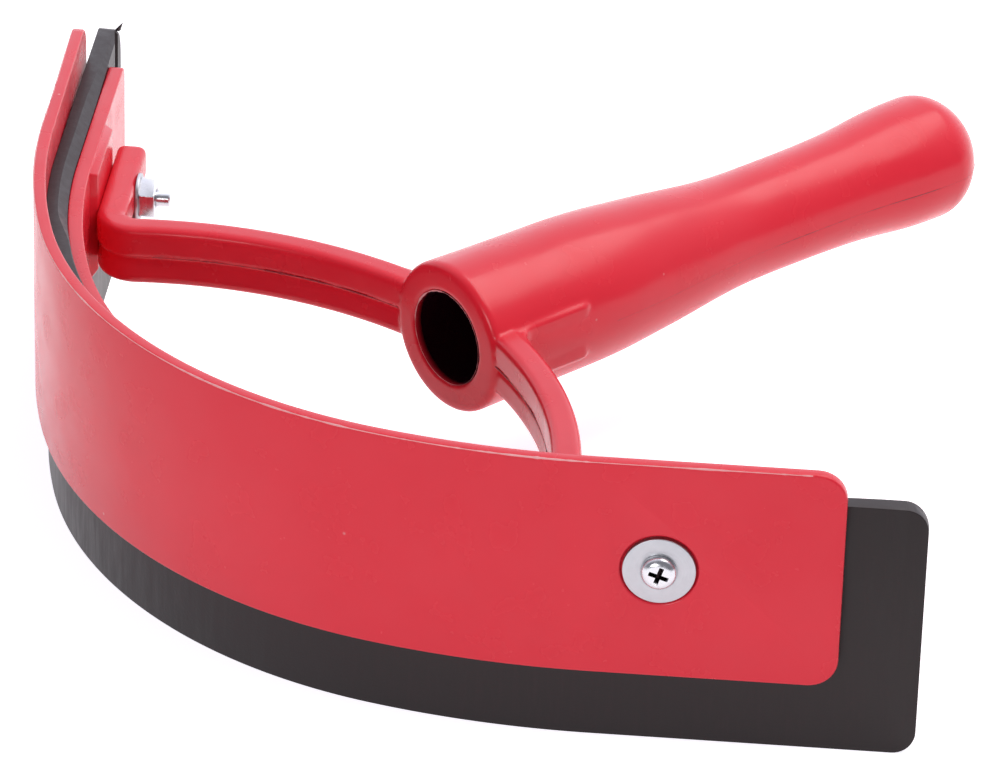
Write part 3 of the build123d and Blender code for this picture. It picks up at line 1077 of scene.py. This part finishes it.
red = make_red_plastic()
rubber = make_rubber()
painted_highlight_flash = make_painted_highlight_flash()
seam = make_seam()
bright_zinc = make_zinc("bright_zinc_plated_screw_steel", "#CCCDD1", 0.16, 0.3, 0.5, 0.2)
satin_zinc = make_zinc("satin_zinc_plated_washer_steel", "#AEAFB3", 0.3, 0.45, 0.35, 0.5)
slots = {
    "red_plastic": red,
    "black_rubber": rubber,
    "screw_metal": bright_zinc,
    "washer_metal": satin_zinc,
    "nut_metal": bright_zinc,
}
node_slots = {entry["node"]: entry["material_slot"] for entry in frame["record"]["subparts"]}

for node_name, piece in made.items():
    paint(piece, slots[node_slots[node_name]])
    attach(piece, "root")
    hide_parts(node_name)
for lines, material in ((painted_highlight_lines, painted_highlight_flash), (shadowed_lines, seam)):
    for piece in lines:
        paint(piece, material)
        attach(piece, "root")
torn_tip = make_torn_tip()
paint(torn_tip, rubber)
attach(torn_tip, "root")


# ---------------------------------------------------------------- studio

bpy.ops.mesh.primitive_plane_add(size=6, location=(0, 0, 0))
floor = bpy.context.active_object
floor.name = "studio_floor"
floor_material, floor_tree = new_material("matt_white_studio_paper")

# The paper glows to the eye, and sends the object only a little of that light
floor_rays = add_node(floor_tree, "ShaderNodeLightPath").outputs["Is Diffuse Ray"]
floor_glow = add_node(floor_tree, "ShaderNodeMapRange", inputs={
    "Value": floor_rays, "To Min": 0.8, "To Max": 0.02,
})
floor_shader = add_node(floor_tree, "ShaderNodeBsdfPrincipled", inputs={
    "Base Color": linear("#F6F6F7"),
    "Roughness": 0.9,
    "Specular IOR Level": 0.1,
    "Emission Color": (0.96, 0.94, 1, 1),
    "Emission Strength": floor_glow,
})
finish_material(floor_tree, floor_shader)
paint(floor, floor_material)

# The surround lights evenly, and its reflection brightens towards the far left
SURROUND_LIGHT = 0.3
BRIGHT_SIDE = Vector((-0.66, 0.57, 0.35)).normalized()

world = bpy.data.worlds.new("studio_surround")
bpy.context.scene.world = world
world.use_nodes = True
surround = world.node_tree
heading = add_node(surround, "ShaderNodeTexCoord").outputs["Generated"]
ahead = add_node(surround, "ShaderNodeVectorMath", {"operation": "DOT_PRODUCT"}, {0: heading, 1: BRIGHT_SIDE})
reflected = add_node(surround, "ShaderNodeMapRange", inputs={
    "Value": ahead, "From Min": -0.1, "From Max": 0.6, "To Min": SURROUND_LIGHT, "To Max": 1.9,
})
glossy = add_node(surround, "ShaderNodeLightPath").outputs["Is Glossy Ray"]
strength = add_node(surround, "ShaderNodeMapRange", inputs={
    "Value": glossy, "To Min": SURROUND_LIGHT, "To Max": reflected,
})
background = surround.nodes["Background"]
background.inputs["Color"].default_value = (0.9, 0.9, 1.0, 1)
surround.links.new(strength.outputs["Result"], background.inputs["Strength"])


def add_softbox(name, place, target, size, power, colour=(1, 1, 1)):
    light = bpy.data.lights.new(name, "AREA")
    light.shape = "RECTANGLE"
    light.size, light.size_y = size
    light.energy = power
    light.color = colour
    lamp = bpy.data.objects.new(name, light)
    bpy.context.scene.collection.objects.link(lamp)
    lamp.location = place
    lamp.rotation_euler = (Vector(target) - Vector(place)).to_track_quat("-Z", "Y").to_euler()


add_softbox("key_softbox", (0.6, -1.2, 0.46), (0, -0.02, 0.03), (0.6, 0.4), 5.2)
add_softbox("top_softbox", (0.15, 0.45, 1.05), (0, 0, 0.03), (1.0, 0.8), 9.5, (1, 0.93, 0.89))

AZIMUTH = radians(49.242)
ELEVATION = radians(29.64)
ROLL = radians(1.687)
CAMERA_DISTANCE = 1355.93 * MM
CAMERA_TARGET = Vector((11.45 * MM, BAND_FRONT + 85.01 * MM, STRIP_LOW + 13.46 * MM))
FOCAL_LENGTH = 234.51

back = Vector((sin(AZIMUTH) * cos(ELEVATION), -cos(AZIMUTH) * cos(ELEVATION), sin(ELEVATION)))
right = Vector((cos(AZIMUTH), sin(AZIMUTH), 0))
above = back.cross(right)
level = cos(ROLL) * right + sin(ROLL) * above
lens = bpy.data.cameras.new("camera")
lens.lens = FOCAL_LENGTH
lens.sensor_width = 36
lens.clip_start = 0.01
camera = bpy.data.objects.new("camera", lens)
bpy.context.scene.collection.objects.link(camera)
turned = Matrix((level, back.cross(level), back)).transposed()
camera.matrix_world = Matrix.Translation(CAMERA_TARGET + back * CAMERA_DISTANCE) @ turned.to_4x4()
bpy.context.scene.camera = camera
bpy.context.scene.view_settings.view_transform = "Standard"

bpy.context.view_layer.update()
